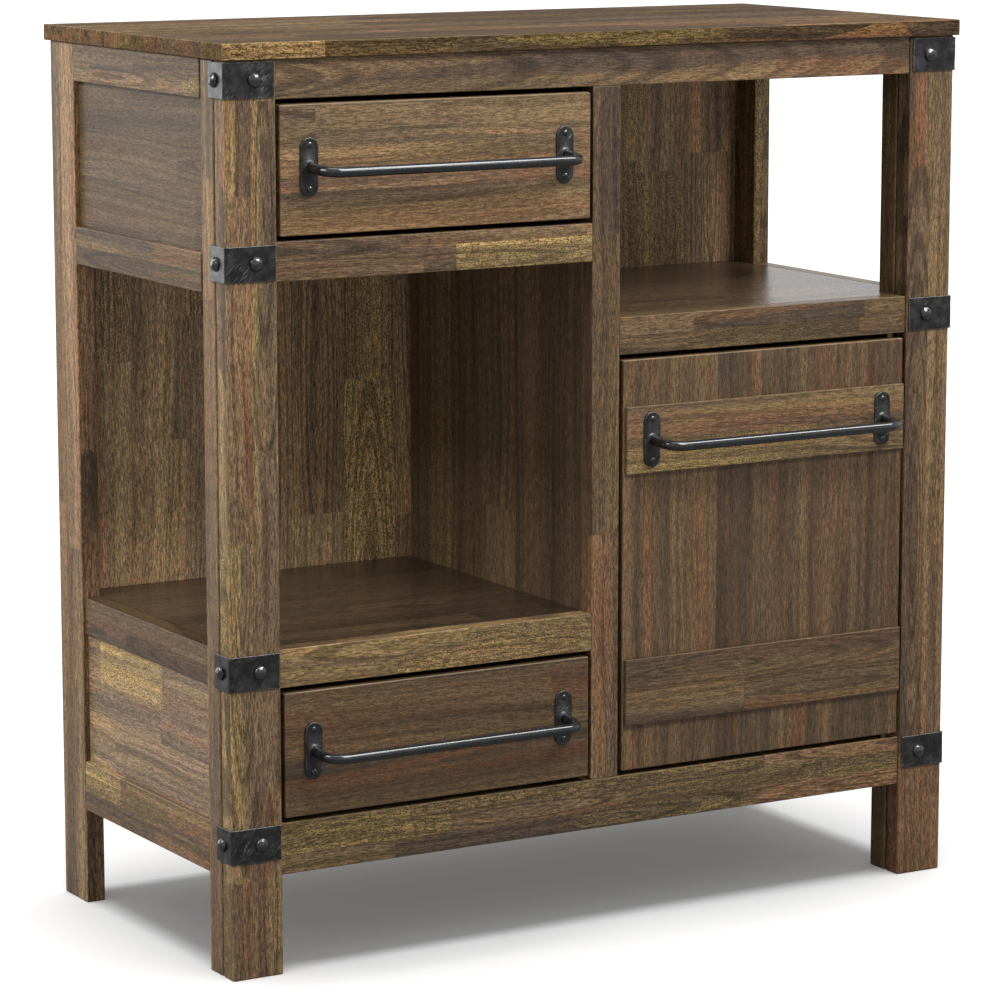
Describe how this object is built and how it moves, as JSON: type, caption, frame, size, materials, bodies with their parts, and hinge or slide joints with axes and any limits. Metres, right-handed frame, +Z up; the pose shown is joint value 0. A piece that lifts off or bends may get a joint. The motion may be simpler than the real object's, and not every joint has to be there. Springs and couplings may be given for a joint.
{
  "type": "accent cabinet",
  "caption": "Rustic wooden accent cabinet with sliding drawers, open cubbies, a hinged door, black bar handles and iron corner brackets.",
  "frame": {"origin": "on the floor, under the middle of the whole object's box", "axes": "+Z up, the front with the drawers and the door faces -Y, +X to the right seen from the front"},
  "size_m": [0.854, 0.4418, 0.9],
  "materials": {
    "acacia_outer": "satin lacquered acacia, mixed warm brown and golden staves",
    "acacia_inner": "satin lacquered acacia, darker inside the case",
    "black_iron": "blackened hammered iron with a waxed sheen",
    "zinc_steel": "zinc-plated rolled steel",
    "brass_bush": "plain turned brass",
    "catch_plastic": "dark brown moulded plastic"
  },
  "bodies": {
    "case": {"back_bottom_rail": "acacia_inner", "back_panel": "acacia_inner", "back_top_rail": "acacia_inner", "bottom_panel": "acacia_inner", "bracket_bolts": "black_iron", "centre_stile": "acacia_outer", "corner_brackets": "black_iron", "cubby_floor": "acacia_inner", "door_pivot_bushes": "brass_bush", "front_bottom_rail": "acacia_outer", "front_top_rail": "acacia_outer", "left_bottom_side_rail": "acacia_outer", "left_face_stile": "acacia_outer", "left_front_leg": "acacia_outer", "left_lower_mid_rail": "acacia_outer", "left_lower_panel": "acacia_outer", "left_rear_leg": "acacia_outer", "left_top_side_rail": "acacia_outer", "left_upper_mid_rail": "acacia_outer", "left_upper_panel": "acacia_outer", "lower_drawer_rail": "acacia_outer", "magnet_catch": "catch_plastic", "partition": "acacia_inner", "right_bottom_side_rail": "acacia_outer", "right_face_stile": "acacia_outer", "right_front_leg": "acacia_outer", "right_lower_panel": "acacia_outer", "right_mid_side_rail": "acacia_outer", "right_rear_leg": "acacia_outer", "right_shelf": "acacia_inner", "right_top_side_rail": "acacia_outer", "shelf_rail": "acacia_outer", "slide_fixed_channels": "zinc_steel", "slide_packing_blocks": "acacia_inner", "top_panel": "acacia_outer", "upper_drawer_deck": "acacia_inner", "upper_drawer_rail": "acacia_outer"},
    "door": {"catch_strike": "zinc_steel", "door_bottom_batten": "acacia_outer", "door_handle": "black_iron", "door_panel": "acacia_outer", "door_pivot_pins": "zinc_steel", "door_top_batten": "acacia_outer"},
    "lower_drawer": {"lower_drawer_back": "acacia_inner", "lower_drawer_bottom": "acacia_inner", "lower_drawer_front": "acacia_outer", "lower_drawer_handle": "black_iron", "lower_drawer_left_side": "acacia_inner", "lower_drawer_right_side": "acacia_inner", "lower_slide_drawer_channels": "zinc_steel"},
    "lower_slide_middle": {"lower_slide_middle_channels": "zinc_steel"},
    "upper_drawer": {"upper_drawer_back": "acacia_inner", "upper_drawer_bottom": "acacia_inner", "upper_drawer_front": "acacia_outer", "upper_drawer_handle": "black_iron", "upper_drawer_left_side": "acacia_inner", "upper_drawer_right_side": "acacia_inner", "upper_slide_drawer_channels": "zinc_steel"},
    "upper_slide_middle": {"upper_slide_middle_channels": "zinc_steel"}
  },
  "joints": [
    {"name": "upper_drawer_slide", "type": "slide", "parent": "case", "child": "upper_drawer", "axis": [0, -1, 0], "range_m": [0, 0.26]},
    {"name": "upper_slide_run", "type": "slide", "parent": "case", "child": "upper_slide_middle", "axis": [0, -1, 0], "range_m": [0, 0.13]},
    {"name": "lower_drawer_slide", "type": "slide", "parent": "case", "child": "lower_drawer", "axis": [0, -1, 0], "range_m": [0, 0.26]},
    {"name": "lower_slide_run", "type": "slide", "parent": "case", "child": "lower_slide_middle", "axis": [0, -1, 0], "range_m": [0, 0.13]},
    {"name": "door_hinge", "type": "hinge", "parent": "case", "child": "door", "pos_m": [0.3495, -0.16606, 0.1545], "axis": [0, 0, 1], "range_deg": [0, 90]}
  ],
  "couplings": [
    {"joint": "upper_slide_run", "follows": "upper_drawer_slide", "ratio": 0.5},
    {"joint": "lower_slide_run", "follows": "lower_drawer_slide", "ratio": 0.5}
  ]
}
